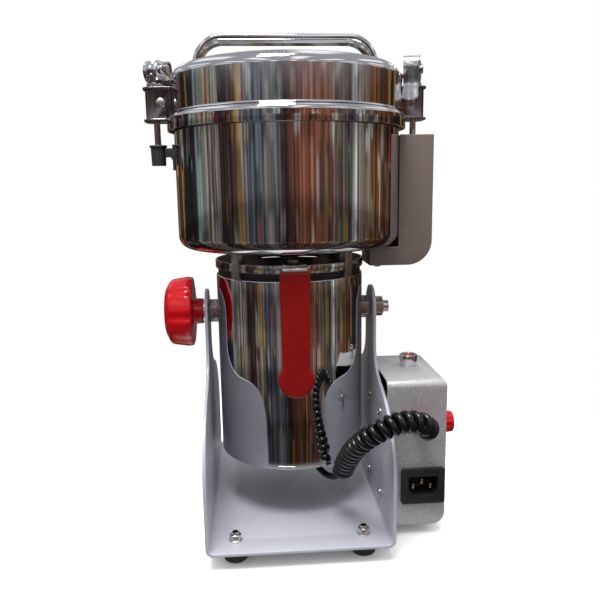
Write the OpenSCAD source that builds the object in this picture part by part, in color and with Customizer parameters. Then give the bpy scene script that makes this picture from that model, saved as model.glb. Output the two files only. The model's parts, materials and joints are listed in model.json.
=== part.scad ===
// Tilting grain mill: a chamber with spinning blades on top of an upright motor, hung by two
// trunnions in a folded sheet stand. Millimetres. The origin is on the table under the motor's
// axis, +Z is up, the front (handle side) is -Y, the clamp knob is at -X, the control box at +X.

/* [Stand] */
// Free width between the motor housing and each arm
arm_gap = 7.5; // [6:0.5:12]
// Depth of the base plate
stand_d = 206; // [170:1:250]
// Thickness of the stand's sheet
stand_t = 2.5; // [1.5:0.5:4]
// Height of a rubber foot
foot_h = 12; // [8:1:20]
// Diameter of a rubber foot
foot_d = 22; // [16:1:28]
// Height of the tilt axis above the table
pivot_z = 176; // [145:1:215]
// Radius of the arm's round top
arm_top_r = 18.6; // [14:0.2:24]

/* [Motor] */
// Outer radius of the motor housing
housing_r = 60.5; // [50:0.5:73]
// Height of the housing's upper rim above the tilt axis
housing_up = 32; // [28:1:40]
// Height of the motor housing
housing_h = 150; // [125:1:155]
// Wall of the housing, bowl and lid
wall = 1.2; // [0.8:0.1:2]
// Radius of the drive shaft
shaft_r = 6; // [5:0.1:7.5]

/* [Chamber] */
// Outer radius of the grinding bowl
bowl_r = 89.5; // [74:0.5:108]
// Gap between the housing and the bowl's floor
neck_h = 22; // [18:1:30]
// Height of the bowl up to its seam with the lid
bowl_h = 97.5; // [81:0.5:117]
// How far the lid's skirt stands out from the bowl's wall
rim_out = 5; // [4:0.5:8]
// Height of the skirt below the seam, and of its flange above it
rim_h = 6.3; // [5:0.1:8]
// Height of the lid's shoulder above the seam
lid_h = 40.5; // [30:0.5:60]
// How far the lid handle's ends stand in from the lid's wall
lid_handle_in = 16.5; // [13:0.5:25]
// Height of the lid handle above the shoulder
lid_handle_h = 27; // [22:1:40]

/* [Handle and knob] */
// Length of the red grip
grip_l = 95.5; // [80:0.5:110]
// Width of the red grip
grip_w = 23; // [18:0.5:28]
// Diameter of the grip's round end
grip_end_d = 27; // [24:0.5:34]
// Diameter of the clamp knob
knob_d = 58; // [45:1:65]
// Depth of the clamp knob's cap
knob_l = 22.5; // [16:0.5:30]
// Radius of the clamp stud and of the pivot bolt
stud_r = 5; // [4:0.5:6]

/* [Control box] */
// Width of the control box beside the arm
box_w = 47.5; // [40:0.5:60]
// Depth of the control box
box_d = 75; // [63:1:90]
// Height of the control box
box_h = 121; // [101:1:145]
// Thickness of the box's sheet
box_t = 1.5; // [1:0.5:2.5]

/* [Latches] */
// Distance of each latch rod from the bowl's wall
latch_out = 13.5; // [12.5:0.5:18]
// Radius of a latch rod
rod_r = 2.5; // [2:0.25:3]
// Radius of a lever's cam
cam_r = 8.5; // [7:0.5:9]
// How far off its pin the cam is centred
cam_offset = 1.5; // [1:0.1:2]

/* [Cord] */
// Diameter of the cord's strand
strand_d = 5.3; // [4:0.1:6]
// Outer diameter of the cord's curls
curl_d = 17; // [12:0.5:20]

/* [Hidden] */
$fn = 64;

run_gap = 0.06;                          // radial clearance of a turning or sliding fit
face_gap = 0.3;                          // gap between faces that move past each other
seam_gap = 0.1;                          // gap between the bowl's rim and the lid's
arm_in = housing_r + arm_gap;            // inner face of an arm
arm_x = arm_in + stand_t;                // outer face of an arm
stand_w = 2 * arm_x;
base_top = foot_h + stand_t;
bend_r = 6;                              // outer radius of the stand's folds
flare_y = 25;                            // centre of the arm's elliptical flare, across
flare_z = 60;                            // and its height
flare_h = pivot_z - flare_z - 53;        // height of the flare
foot_x = stand_w / 2 - 21.5;
foot_y = stand_d / 2 - 19;
bolt_r = 2.5;

housing_top = pivot_z + housing_up;
housing_z = housing_top - housing_h;
housing_in = housing_r - wall;
bowl_z = housing_top + neck_h;           // underside of the bowl
seam_z = bowl_z + bowl_h;                // where the lid meets the bowl
floor_t = 2.5;
bowl_in = bowl_r - wall;
bowl_corner = 10;
floor_top = bowl_z + floor_t;
shoulder_z = seam_z + lid_h;
shoulder_r = 9;
dome_h = 4;
rim_r = bowl_r + rim_out;
rim_z = seam_z - rim_h;
skirt_t = 1.3;                           // sheet of the lid's skirt
lip_r = rim_r - skirt_t - 0.5;           // flat lip of the bowl, inside the skirt
lip_t = 3;
lid_rim_top = seam_z + rim_h;

band_h = 6.5;
band_r = housing_r + 0.5;
band_z = housing_top + 5.5;
band_top = band_z + band_h;
web_t = 2;
post_in = housing_r - 4;                 // inner face of a bar that carries the bowl
post_d = 6;
post_w = 8.5;

grip_y = -(housing_r + 11.5);            // middle plane of the grip
grip_t = 7.5;
grip_top = housing_top + 9;
strap_t = 2.5;
strap_w = 18;
strap_leg_z = band_top;
strap_bolt_r = housing_r - 6;            // distance of the strap's screw from the axis

box_x = arm_x;                           // the box is screwed to the outside of the arm
box_y = -65;                             // its front face
box_z = 8;
box_top = box_z + box_h;
box_right = box_x + box_w;
inlet_x = box_right - 18.5;
inlet_z = box_z + 34.5;
gland_x = box_x + 26.5;
gland_z = box_z + 87;
bezel_x = box_x + 27;
bezel_y = box_y + 45;
timer_y = box_y + 38;
timer_z = box_top - 49;
box_screws_yz = [
  for (y = [box_y + 15, box_y + box_d - 14], z = [box_z + 22, box_top - 30]) [y, z]
];

latch_x = bowl_r + latch_out;            // distance of each latch rod from the axis
pin_z = seam_z + 41.5;                   // axis of the lever's pin
latch_turn = -20;                        // each rod is turned this far, so its lever faces outwards
block_z = seam_z + 1.5;
block_top = seam_z + 27.5;
seat_top = pin_z - cam_r - cam_offset - 0.4;
cup_z = rim_z - 25.7;
cup_top = rim_z - 10;
rod_travel = 2.4;                         // how far a rod slides down as its lever opens
rod_low = cup_z + rod_travel + 2.1;       // lower end of the left rod
cover_top = rim_z - 4.2;
cover_z = housing_top + 5;

// The curly cord's middle line, from the gland to the underside of the motor.
cord_route = [
  [97, -75, 95], [97, -85, 97], [95, -94, 101], [90, -101, 107], [82, -105, 111], [73, -107, 112],
  [64, -108, 110], [56, -107, 106], [49, -103, 100], [44, -97, 93], [41, -89, 85], [39, -80, 76],
  [37, -71, 66], [35, -63, 56], [32, -54, 48], [27, -44, 44], [22, -34, 44], [18, -27, 48],
  [18, -26, 51.9],
];

// ---------------------------------------------------------------- helpers

// Cylinder along X from x0 to x1
module x_rod(x0, x1, r, y = 0, z = 0) {
  translate([min(x0, x1), y, z]) rotate([0, 90, 0]) cylinder(r = r, h = abs(x1 - x0));
}

// Cylinder along Y from y0 to y1
module y_rod(y0, y1, r, x = 0, z = 0) {
  translate([x, max(y0, y1), z]) rotate([90, 0, 0]) cylinder(r = r, h = abs(y1 - y0));
}

// Hexagonal prism along Z
module hex(af, h) {
  cylinder(r = af / sqrt(3), h = h, $fn = 6);
}

// Rectangle with four round corners
module round_rect(w, h, r) {
  square([w - 2 * r, h], center = true);
  square([w, h - 2 * r], center = true);
  for (sx = [-1, 1], sy = [-1, 1])
    translate([sx * (w / 2 - r), sy * (h / 2 - r)]) circle(r = r);
}

// Ring of rectangular section about Z
module ring(r_in, r_out, z0, z1) {
  translate([0, 0, z0]) difference() {
    cylinder(r = r_out, h = z1 - z0);
    translate([0, 0, -1]) cylinder(r = r_in, h = z1 - z0 + 2);
  }
}

// Pan-head screw along Z with a cross recess, its head above z = 0
module pan_screw(head_r, head_h, shank_r, shank_l) {
  difference() {
    union() {
      intersection() {
        cylinder(r = head_r, h = head_h);
        translate([0, 0, head_h - 1.6 * head_r]) sphere(r = 1.6 * head_r);
      }
      translate([0, 0, -shank_l]) cylinder(r = shank_r, h = shank_l + 0.5);
    }
    for (a = [0, 90])
      rotate([0, 0, a]) translate([-head_r * 0.6, -head_r * 0.11, head_h * 0.4])
        cube([head_r * 1.2, head_r * 0.22, head_h]);
  }
}

// Copies for the two latches: the left one is the right one turned half way about Z
module at_latch(side) {
  rotate([0, 0, side > 0 ? 0 : 180]) translate([latch_x, 0, 0]) children();
}

// ---------------------------------------------------------------- stand

// Fold of the sheet seen from the front: a U with rounded lower corners
module stand_section(inset) {
  h = pivot_z + arm_top_r;
  r = bend_r - inset;
  w = stand_w - 2 * inset;
  z0 = foot_h + inset;
  translate([-w / 2, z0 + r]) square([w, h]);
  translate([-w / 2 + r, z0]) square([w - 2 * r, r + 1]);
  for (s = [-1, 1]) translate([s * (w / 2 - r), z0 + r]) circle(r = r);
}

// Outline of one arm seen from the side: round top, narrow neck and a flared foot
function flare(a) = [flare_y + (stand_d / 2 - flare_y) * cos(a), flare_z + flare_h * sin(a)];
function bezier(a, b, c, t) = (1 - t) * (1 - t) * a + 2 * t * (1 - t) * b + t * t * c;
module arm_outline() {
  flare_end = flare(72);
  neck_low = [arm_top_r, pivot_z - 26];
  bend = [arm_top_r + 1.4, flare_end[1] + 7];
  half = [
    [stand_d / 2, foot_h],
    for (a = [0:6:72]) flare(a),
    for (t = [0.125:0.125:1]) bezier(flare_end, bend, neck_low, t),
    [arm_top_r, pivot_z],
  ];
  polygon(concat(half, [for (i = [len(half) - 1:-1:0]) [-half[i][0], half[i][1]]]));
  translate([0, pivot_z]) circle(r = arm_top_r);
}

module stand_frame() {
  color([0.72, 0.73, 0.78]) difference() {
    intersection() {
      translate([0, stand_d / 2, 0]) rotate([90, 0, 0]) linear_extrude(stand_d) difference() {
        stand_section(0);
        stand_section(stand_t);
      }
      translate([-arm_x - 1, 0, 0]) rotate([90, 0, 90]) linear_extrude(stand_w + 2) arm_outline();
    }
    x_rod(-arm_x - 1, arm_x + 1, stud_r + run_gap, z = pivot_z);
    for (sx = [-1, 1], sy = [-1, 1])
      translate([sx * foot_x, sy * foot_y, foot_h - 1]) cylinder(r = bolt_r + run_gap, h = stand_t + 2);
    for (p = box_screws_yz)
      x_rod(arm_in - 1, arm_x + 1, bolt_r + run_gap, y = p[0], z = p[1]);
  }
}

module rubber_feet() {
  color([0.06, 0.06, 0.06]) for (sx = [-1, 1], sy = [-1, 1])
    translate([sx * foot_x, sy * foot_y, 0]) difference() {
      rotate_extrude() polygon([
        [0, 0], [foot_d / 2 - 3, 0], [foot_d / 2 - 2, 1], [foot_d / 2, foot_h - 1],
        [foot_d / 2 - 1, foot_h], [0, foot_h],
      ]);
      translate([0, 0, 3]) cylinder(r = bolt_r, h = foot_h);
    }
}

module foot_bolts() {
  washer_t = 1;
  nut_h = 4;
  color([0.78, 0.77, 0.74]) for (sx = [-1, 1], sy = [-1, 1])
    translate([sx * foot_x, sy * foot_y, 0]) {
      translate([0, 0, 3]) cylinder(r = bolt_r, h = base_top - 3 + washer_t + nut_h + 2);
      translate([0, 0, base_top]) cylinder(r = 5, h = washer_t);
      translate([0, 0, base_top + washer_t]) hex(8, nut_h);
    }
}

// ---------------------------------------------------------------- control box

// Outer form of the box, shrunk by inset: round right corners, round front top edge
module box_form(inset) {
  low_r = 10 - inset;
  high_r = 6 - inset;
  x1 = box_right - inset;
  z0 = box_z + inset;
  z1 = box_top - inset;
  intersection() {
    translate([0, box_y + box_d - inset, 0]) rotate([90, 0, 0])
      linear_extrude(box_d - 2 * inset) {
        translate([box_x, z0]) square([x1 - box_x - low_r, z1 - z0]);
        translate([box_x, z0 + low_r]) square([x1 - box_x, z1 - z0 - low_r - high_r]);
        translate([box_x, z0 + low_r]) square([x1 - box_x - high_r, z1 - z0 - low_r]);
        translate([x1 - low_r, z0 + low_r]) circle(r = low_r);
        translate([x1 - high_r, z1 - high_r]) circle(r = high_r);
      }
    translate([box_x, 0, 0]) rotate([90, 0, 90]) linear_extrude(box_w) {
      y0 = box_y + inset;
      y1 = box_y + box_d - inset;
      translate([y0, z0]) square([y1 - y0, z1 - z0 - high_r]);
      translate([y0 + high_r, z0]) square([y1 - y0 - high_r, z1 - z0]);
      translate([y0 + high_r, z1 - high_r]) circle(r = high_r);
    }
  }
}

inlet_cut = [27.4, 20.2];
module control_box() {
  color([0.66, 0.66, 0.68]) difference() {
    box_form(0);
    difference() {
      box_form(box_t);
      for (p = box_screws_yz) x_rod(box_x, box_x + 14, 4.5, y = p[0], z = p[1]);
    }
    for (p = box_screws_yz) x_rod(box_x - 1, box_x + 12, bolt_r, y = p[0], z = p[1]);
    translate([inlet_x - inlet_cut[0] / 2, box_y - 1, inlet_z - inlet_cut[1] / 2])
      cube([inlet_cut[0], box_t + 2, inlet_cut[1]]);
    y_rod(box_y - 1, box_y + box_t + 1, 5, x = gland_x, z = gland_z);
    translate([bezel_x, bezel_y, box_top - box_t - 1]) cylinder(r = 5.5, h = box_t + 2);
    x_rod(box_right - box_t - 1, box_right + 1, 5, y = timer_y, z = timer_z);
  }
}

module box_screws() {
  color([0.8, 0.8, 0.8]) for (p = box_screws_yz)
    translate([arm_in, p[0], p[1]]) rotate([0, -90, 0]) pan_screw(4.2, 2.4, bolt_r, stand_t + 11);
}

inlet_depth = 17;
module power_inlet() {
  flange = [35, 29.5];
  flange_t = 3;
  body = [27, 19.8];
  well = [23.4, 16.2];
  chamfer = 4.5;
  color([0.05, 0.05, 0.05]) translate([inlet_x, box_y, inlet_z]) rotate([90, 0, 0]) difference() {
    union() {
      linear_extrude(flange_t) round_rect(flange[0], flange[1], 2.5);
      translate([0, 0, -20]) linear_extrude(20) round_rect(body[0], body[1], 2);
    }
    translate([0, 0, flange_t - inlet_depth]) linear_extrude(inlet_depth + 1) difference() {
      square(well, center = true);
      for (s = [-1, 1]) translate([s * well[0] / 2, -well[1] / 2]) rotate([0, 0, 45])
        square([chamfer * sqrt(2), chamfer * sqrt(2)], center = true);
    }
    for (p = [[-7, -2], [7, -2], [0, 2]]) translate([p[0] - 1, p[1] - 2, -21]) cube([2, 4, 12]);
  }
}

module inlet_pins() {
  pin_l = 19;
  color([0.85, 0.82, 0.72]) for (p = [[-7, -2], [7, -2], [0, 2]])
    translate([inlet_x + p[0] - 1, box_y + 20.5 - pin_l, inlet_z + p[1] - 2])
      cube([2, pin_l, 4]);
}

module cord_gland() {
  color([0.8, 0.1, 0.05]) translate([gland_x, box_y, gland_z]) rotate([90, 0, 0]) difference() {
    rotate_extrude() polygon([
      [0, -6], [4.9, -6], [4.9, 0], [8, 0], [8, 1.6], [6.6, 3], [5.2, 5], [4.4, 10], [0, 10],
    ]);
    translate([0, 0, -7]) cylinder(r = strand_d / 2 + 0.1, h = 18);
  }
}

// Sweep of a round section of radius rs[i] along the points, closed at both ends
function catmull(p, i, t) =
  let (a = p[max(i - 1, 0)], b = p[i], c = p[i + 1], d = p[min(i + 2, len(p) - 1)])
  0.5 * (2 * b + (c - a) * t + (2 * a - 5 * b + 4 * c - d) * t * t
  + (3 * b - a - 3 * c + d) * t * t * t);
function unit(v) = v / norm(v);
module tube_along(pts, rs, sides) {
  n = len(pts);
  ref = [1, 1, 1];
  rings = [
    for (i = [0:n - 1])
      let (
        t = unit(pts[min(i + 1, n - 1)] - pts[max(i - 1, 0)]),
        u = unit(cross(t, ref)),
        v = cross(t, u)
      )
      for (k = [0:sides - 1]) pts[i] + rs[i] * (u * cos(360 * k / sides) + v * sin(360 * k / sides))
  ];
  walls = [
    for (i = [0:n - 2], k = [0:sides - 1])
      let (a = i * sides + k, b = i * sides + (k + 1) % sides) [a, b, b + sides, a + sides]
  ];
  caps = [[for (k = [sides - 1:-1:0]) k], [for (k = [0:sides - 1]) (n - 1) * sides + k]];
  polyhedron(rings, concat([for (w = walls) [w[3], w[2], w[1], w[0]]], [
    for (c = caps) [for (i = [len(c) - 1:-1:0]) c[i]]
  ]));
}

module coiled_cord() {
  steps = 4;
  spans = len(cord_route) - 1;
  line = [
    for (i = [0:spans - 1], s = [0:steps - 1]) catmull(cord_route, i, s / steps),
    cord_route[spans],
  ];
  last = len(line) - 1;
  taper = 6;
  thin = strand_d / 2;
  radii = [
    for (i = [0:last])
      let (from_end = min(i, last - i) / taper)
      thin + (curl_d / 2 - thin) * min(1, from_end) * min(1, from_end) * (3 - 2 * min(1, from_end))
  ];
  color([0.05, 0.05, 0.05]) tube_along(line, radii, 10);
}

bezel_h = 9;
module reset_bezel() {
  color([0.85, 0.85, 0.87]) translate([bezel_x, bezel_y, 0]) {
    ring(5.4, 7.25, box_top, box_top + bezel_h);
    ring(5.2, 5.4 + 0.05, box_top - 8, box_top + 2);
  }
}

module reset_button() {
  color([0.85, 0.05, 0.03]) translate([bezel_x, bezel_y, box_top - 6]) {
    cylinder(r = 4.6, h = 13);
    translate([0, 0, 13]) intersection() {
      cylinder(r = 4.6, h = 1.4);
      translate([0, 0, -7]) sphere(r = 8.4);
    }
  }
}

module breaker_body() {
  color([0.12, 0.12, 0.12]) translate([bezel_x, bezel_y, box_top - 28]) difference() {
    translate([-9, -14, 0]) cube([18, 28, 20]);
    translate([0, 0, 14]) cylinder(r = 5, h = 20);
  }
}

module timer_body() {
  color([0.85, 0.83, 0.78]) difference() {
    union() {
      translate([box_right - 24, timer_y - 16, timer_z - 16]) cube([24 - box_t - 0.5, 32, 32]);
      x_rod(box_right - box_t - 1, box_right + 0.6, 4.8, y = timer_y, z = timer_z);
    }
    x_rod(box_right - 16, box_right + 1, 3 + run_gap, y = timer_y, z = timer_z);
  }
}

module timer_knob() {
  skirt_r = 11.5;
  color([0.82, 0.04, 0.05]) difference() {
    union() {
      x_rod(box_right - 15, box_right + 3, 3, y = timer_y, z = timer_z);
      translate([box_right + 1, timer_y, timer_z]) rotate([0, 90, 0]) rotate_extrude() polygon([
        [0, 0], [skirt_r, 0], [skirt_r, 2.5], [9.6, 4], [8.8, 14], [8, 15], [0, 15],
      ]);
    }
    for (a = [0:30:330])
      translate([box_right + 5.5, timer_y, timer_z]) rotate([a, 0, 0]) translate([0, 10.4, 0])
        rotate([0, 90, 0]) cylinder(r = 1.9, h = 20);
  }
}

// ---------------------------------------------------------------- clamp knob

washer_l = 1.5;
hub_l = 8.5;
hub_x = arm_x + face_gap + washer_l;     // where the knob's hub starts, out from the arm
cap_x = hub_x + hub_l;
module clamp_knob() {
  lobes = 7;
  color([0.82, 0.03, 0.05]) difference() {
    translate([-cap_x, 0, pivot_z]) rotate([0, -90, 0]) {
      rotate_extrude() polygon([
        [0, 0], [knob_d * 0.36, 0], [knob_d * 0.44, 0.6], [knob_d / 2 - 0.6, 2.4],
        [knob_d / 2, 5], [knob_d * 0.47, knob_l * 0.62], [knob_d * 0.445, knob_l * 0.85],
        [knob_d * 0.4, knob_l * 0.96], [knob_d * 0.32, knob_l], [0, knob_l],
      ]);
      translate([0, 0, -hub_l]) cylinder(r1 = 10.4, r2 = 11.2, h = hub_l + 0.5);
    }
    for (a = [0:360 / lobes:359])
      translate([-cap_x - knob_l - 1, 0, pivot_z]) rotate([a, 0, 0])
        translate([0, knob_d * 0.5 + 7.2, 0]) rotate([0, 90, 0]) cylinder(r = 9, h = knob_l * 0.88);
    x_rod(-cap_x - 12, 0, stud_r, z = pivot_z);
  }
}

module knob_stud() {
  color([0.75, 0.75, 0.76]) {
    x_rod(-cap_x - 12, -housing_r - 1.2, stud_r, z = pivot_z);
    difference() {
      x_rod(-arm_x - face_gap, -hub_x, 9.5, z = pivot_z);
      x_rod(-arm_x, -hub_x - 1, stud_r - 0.2, z = pivot_z);
    }
  }
}

// ---------------------------------------------------------------- head: motor

module motor_housing() {
  color([0.55, 0.55, 0.58]) difference() {
    union() {
      ring(housing_in, housing_r, housing_z, housing_top);
      ring(housing_in - 1.5, housing_r - 0.4, housing_top - wall, housing_top);
    }
    x_rod(0, housing_r + 2, stud_r + run_gap, z = pivot_z);
  }
}

grommet = [18, -26];
module motor_end_cover() {
  color([0.12, 0.12, 0.13]) translate([0, 0, housing_z]) difference() {
    union() {
      cylinder(r = housing_in - 0.05, h = 2);
      translate([0, 0, 1.5]) cylinder(r = 18, h = 14);
    }
    translate([0, 0, low_bearing_z - housing_z]) cylinder(r = bearing_r, h = 20);
    for (a = [0:30:330]) rotate([0, 0, a]) translate([36, -2.5, -1]) cube([14, 5, 4]);
    translate([grommet[0], grommet[1], -1]) cylinder(r = 5, h = 5);
  }
}

module motor_grommet() {
  color([0.08, 0.08, 0.08]) translate([grommet[0], grommet[1], housing_z]) difference() {
    union() {
      translate([0, 0, -6]) cylinder(r1 = 4.2, r2 = 7, h = 6);
      cylinder(r = 5, h = 2);
    }
    translate([0, 0, -7]) cylinder(r = strand_d / 2 + 0.1, h = 12);
  }
}

module motor_top_plate() {
  color([0.07, 0.07, 0.08]) difference() {
    translate([0, 0, housing_top]) cylinder(r = housing_r - 1.5, h = band_z - housing_top - 0.2);
    translate([0, 0, housing_top - 1]) cylinder(r = 19, h = 10);
    post_bars(0.01);
  }
}

// The four bars that carry the bowl, on the housing's rim
module post_bars(grow) {
  for (a = [45:90:315]) rotate([0, 0, a])
    translate([post_in - grow, -post_w / 2 - grow, housing_top])
      cube([post_d + grow + 1, post_w + 2 * grow, bowl_z - housing_top]);
}

module neck_band() {
  color([0.75, 0.75, 0.77]) difference() {
    union() {
      ring(band_r - 2, band_r, band_z, band_top);
      ring(26, band_r - 1, band_top - web_t, band_top);
      for (a = [0:90:270]) rotate([0, 0, a])
        translate([housing_r - 12, -5, band_z - 0.2]) cube([8, 10, band_h - web_t + 0.7]);
    }
    translate([0, -strap_bolt_r, band_z - 1]) cylinder(r = 2.4, h = band_h + 2);
    post_bars(0);
  }
}

module support_posts() {
  color([0.7, 0.7, 0.72]) intersection() {
    post_bars(0);
    translate([0, 0, housing_top]) cylinder(r = post_in + post_d, h = 40);
  }
}

module handle_strap() {
  bend = 3;
  leg_end = -(housing_r - 18);
  slope_y = grip_y + strap_t / 2;
  color([0.8, 0.8, 0.82]) difference() {
    union() {
      translate([-strap_w / 2, slope_y + bend, strap_leg_z])
        cube([strap_w, leg_end - slope_y - bend, strap_t]);
      translate([0, slope_y + bend, strap_leg_z - bend]) rotate([0, 90, 0])
        translate([0, 0, -strap_w / 2]) linear_extrude(strap_w) difference() {
          intersection() {
            circle(r = bend + strap_t);
            translate([-20, -20]) square(20);
          }
          circle(r = bend);
        }
      translate([-strap_w / 2, grip_y - strap_t / 2, grip_top - grip_l + 8])
        cube([strap_w, strap_t, strap_leg_z - bend - grip_top + grip_l - 8]);
    }
    translate([0, -strap_bolt_r, strap_leg_z - 1]) cylinder(r = 2.5, h = 6);
  }
}

module handle_grip() {
  end_z = grip_top - grip_l + grip_end_d / 2;
  neck_a = acos((grip_w - 2) / grip_end_d);
  color([0.75, 0.03, 0.02]) difference() {
    translate([0, grip_y, 0]) rotate([90, 0, 0]) translate([0, 0, -grip_t / 2])
      linear_extrude(grip_t) polygon([
        [-grip_w / 2, grip_top],
        for (a = [180 - neck_a:8:360 + neck_a])
          [grip_end_d / 2 * cos(a), end_z + grip_end_d / 2 * sin(a)],
        [grip_w / 2, grip_top],
      ]);
    translate([-strap_w / 2, grip_y - strap_t / 2, grip_top - grip_l + 8])
      cube([strap_w, strap_t, grip_l]);
  }
}

module handle_screw() {
  color([0.8, 0.79, 0.77]) translate([0, -strap_bolt_r, strap_leg_z + strap_t])
    pan_screw(4.5, 2.8, 2.4, strap_t + web_t + 2);
}

stator_z = housing_z + 42;
stator_h = housing_h - 88;
rotor_r = 30;
coil_in = 33;                            // slots for the windings, from the axis outwards
coil_out = housing_in - 10.3;
coil_w = 40;
module motor_stator() {
  color([0.35, 0.35, 0.37]) difference() {
    translate([0, 0, stator_z]) intersection() {
      cylinder(r = housing_in - 0.1, h = stator_h);
      translate([-(housing_in - 12), -housing_in, 0]) cube([2 * (housing_in - 12), 2 * housing_in, stator_h]);
    }
    translate([0, 0, stator_z - 1]) cylinder(r = rotor_r + 0.8, h = stator_h + 2);
    for (a = [0, 180]) rotate([0, 0, a]) translate([-coil_w / 2, coil_in, stator_z - 1])
      cube([coil_w, coil_out - coil_in, stator_h + 2]);
  }
}

module stator_windings() {
  color([0.72, 0.38, 0.16]) for (a = [0, 180]) rotate([0, 0, a]) difference() {
    translate([0.5 - coil_w / 2, coil_in + 0.5, stator_z - 9])
      cube([coil_w - 1, coil_out - coil_in - 1, stator_h + 18]);
    translate([0, 0, stator_z - 10]) cylinder(r = rotor_r + 2.5, h = stator_h + 20);
  }
}

bearing_r = 15;
bearing_h = 9;
low_bearing_z = housing_z + 5.5;
high_bearing_z = housing_top - 12;
module bearing_brackets() {
  color([0.6, 0.61, 0.63]) difference() {
    union() {
      translate([0, 0, housing_top - 16]) cylinder(r = 24, h = 14.7);
      translate([-housing_in + 1, -9, housing_top - 8]) cube([2 * housing_in - 2, 18, 6.7]);
      translate([0, 0, housing_top - 1.5]) cylinder(r = 18.9, h = 6);
    }
    translate([0, 0, housing_top - 17]) cylinder(r = shaft_r + 3, h = 30);
    translate([0, 0, high_bearing_z]) cylinder(r = bearing_r, h = bearing_h);
    ring(housing_in - 2.2, housing_r + 5, housing_top - 12, housing_top - 0.5);
    for (s = [-1, 1]) x_rod(s * 40, s * 65, 9.5, z = pivot_z);
  }
}

module ball_bearings() {
  color([0.8, 0.8, 0.82]) for (z = [low_bearing_z, high_bearing_z]) {
    ring(12, bearing_r, z, z + bearing_h);
    ring(shaft_r + 0.02, 9, z, z + bearing_h);
    ring(9, 12, z + 1, z + bearing_h - 1);
  }
}

comm_z = housing_z + 18;
module brush_holders() {
  color([0.6, 0.45, 0.2]) for (s = [-1, 1]) difference() {
    x_rod(s * 17.5, s * (housing_in - 1), 6.5, z = comm_z + 8);
    x_rod(s * 17.4, s * 23, 4, z = comm_z + 8);
  }
}

module trunnion_bosses() {
  color([0.25, 0.25, 0.26]) difference() {
    union() {
      translate([-arm_in + face_gap, 0, pivot_z]) rotate([0, 90, 0]) hex(17, 14);
      translate([arm_in - face_gap, 0, pivot_z]) rotate([0, -90, 0]) hex(17, 14);
    }
    translate([0, 0, pivot_z - 30]) cylinder(r = housing_r, h = 60);
    x_rod(-arm_x, arm_x, stud_r + run_gap, z = pivot_z);
  }
}

nut_x = arm_x + face_gap;
module pivot_bolt() {
  color([0.78, 0.77, 0.74]) {
    x_rod(housing_in - 9, housing_in - 2.5, 8, z = pivot_z);
    x_rod(housing_in - 3, nut_x + 13, stud_r, z = pivot_z);
  }
}

module pivot_nut() {
  color([0.75, 0.73, 0.68]) difference() {
    union() {
      x_rod(nut_x, nut_x + 1.5, 9.5, z = pivot_z);
      translate([nut_x + 1.5, 0, pivot_z]) rotate([0, 90, 0]) hex(15, 6.5);
    }
    x_rod(nut_x - 1, nut_x + 10, stud_r, z = pivot_z);
  }
}

// ---------------------------------------------------------------- head: chamber

module grinding_bowl() {
  color([0.78, 0.78, 0.8]) difference() {
    rotate_extrude($fn = 96) difference() {
      union() {
        translate([0, bowl_z]) square([bowl_r - bowl_corner, bowl_corner]);
        translate([bowl_r - bowl_corner, bowl_z + bowl_corner]) circle(r = bowl_corner);
        translate([0, bowl_z + bowl_corner]) square([bowl_r, bowl_h - bowl_corner - seam_gap]);
        translate([bowl_r - 2, seam_z - lip_t]) square([lip_r - bowl_r + 2, lip_t - seam_gap]);
      }
      translate([-1, floor_top]) square([bowl_in - bowl_corner + 1, bowl_corner]);
      translate([bowl_in - bowl_corner, floor_top + bowl_corner]) circle(r = bowl_corner);
      translate([-1, floor_top + bowl_corner]) square([bowl_in + 1, bowl_h]);
      translate([-200, 0]) square([200, 500]);
    }
    translate([0, 0, bowl_z - 1]) cylinder(r = 14, h = floor_t + 2);
  }
}

module shaft_seal() {
  color([0.2, 0.2, 0.22]) difference() {
    union() {
      translate([0, 0, band_top + 2]) cylinder(r = 14, h = floor_top - band_top - 2);
      translate([0, 0, floor_top]) cylinder(r1 = 16, r2 = 13, h = 4);
      translate([0, 0, band_top + 2]) cylinder(r = 20, h = bowl_z - band_top - 2);
    }
    translate([0, 0, band_top]) cylinder(r = shaft_r + run_gap, h = 40);
  }
}

module latch_cup() {
  cup_web_t = 5;
  color([0.5, 0.5, 0.52]) at_latch(-1) difference() {
    union() {
      translate([0, 0, cup_z]) cylinder(r1 = 5.6, r2 = 6.1, h = cup_top - cup_z);
      translate([0, 0, cup_top - 1.5]) cylinder(r = 7, h = 1.8);
      rotate([90, 0, 0]) translate([0, 0, -cup_web_t / 2]) linear_extrude(cup_web_t) polygon([
        [-latch_x + bowl_r - 4, cup_top - 2], [0, cup_top - 2], [0, cup_top - 9],
        [-latch_x + bowl_r + 4, cup_top - 9], [-latch_x + bowl_r + 1.5, cup_top - 13],
        [-latch_x + bowl_r - 4, cup_top - 19],
      ]);
      translate([-latch_x + bowl_r - 3, -9, cup_top - 19.5]) cube([4.6, 18, 20]);
    }
    translate([0, 0, rod_low - rod_travel - 0.6]) cylinder(r = rod_r + 0.4, h = 40);
    translate([-latch_x, 0, 0]) cylinder(r = bowl_r, h = 400);
  }
}

cover_x0 = bowl_r + 1;
cover_x1 = latch_x + 13;
cover_w = 38;
module cover_form(inset) {
  r = 20 - inset;
  x1 = cover_x1 - inset;
  z0 = cover_z + inset;
  z1 = cover_top - inset;
  leg_x = bowl_r - 25;
  leg_top = bowl_z - 2 - inset;
  translate([0, cover_w / 2 - inset, 0]) rotate([90, 0, 0]) linear_extrude(cover_w - 2 * inset) {
    translate([leg_x + inset, z0]) square([x1 - r - leg_x - inset, leg_top - z0]);
    translate([cover_x0 - 6 + inset, z0]) square([x1 - r - cover_x0 + 6 - inset, z1 - z0]);
    translate([cover_x0 - 6 + inset, z0 + r]) square([x1 - cover_x0 + 6 - inset, z1 - z0 - r]);
    translate([x1 - r, z0 + r]) circle(r = r);
  }
}

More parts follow.
